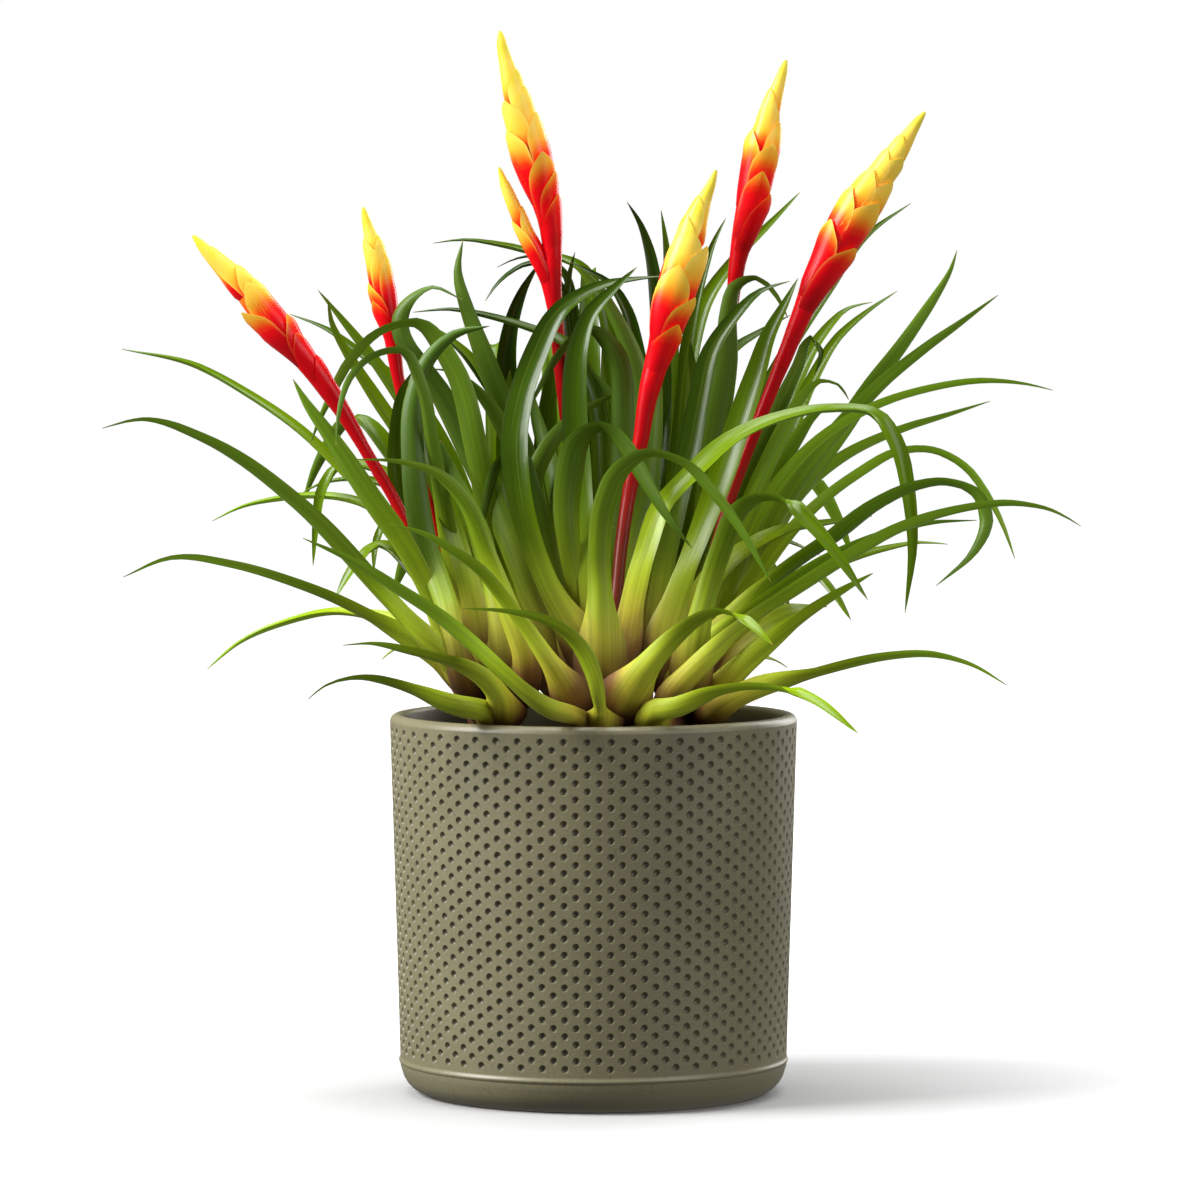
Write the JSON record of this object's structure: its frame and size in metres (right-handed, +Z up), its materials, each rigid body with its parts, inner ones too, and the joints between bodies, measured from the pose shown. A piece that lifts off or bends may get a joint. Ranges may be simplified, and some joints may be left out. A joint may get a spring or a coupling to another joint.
{
  "type": "potted flowering bromeliad",
  "caption": "Clump of strap-leaved bromeliads with upright red and yellow bract spikes, growing in soil in a dimpled cylindrical ceramic pot with a rounded foot.",
  "frame": {"origin": "centre of the pot's flat underside, on the surface that it stands on", "axes": "+Z up; -Y towards the viewer of the picture, +X to the viewer's right"},
  "size_m": [0.3741, 0.2407, 0.4169],
  "materials": {
    "pot_glaze": "satin olive-grey glaze",
    "soil": "dark damp peat and bark",
    "leaf": "glossy leaf, paler and yellow-green at the swollen base",
    "spike": "waxy bracts, red at the base to yellow at the tip"
  },
  "bodies": {
    "root": {"pot": "pot_glaze", "soil": "soil", "rosette_front_left": "leaf", "rosette_front_centre": "leaf", "rosette_front_right": "leaf", "rosette_back_left": "leaf", "rosette_back_centre": "leaf", "rosette_back_right": "leaf", "spike_left": "spike", "spike_back_left": "spike", "spike_tall": "spike", "spike_centre": "spike", "spike_back_right": "spike", "spike_right": "spike"}
  },
  "joints": []
}
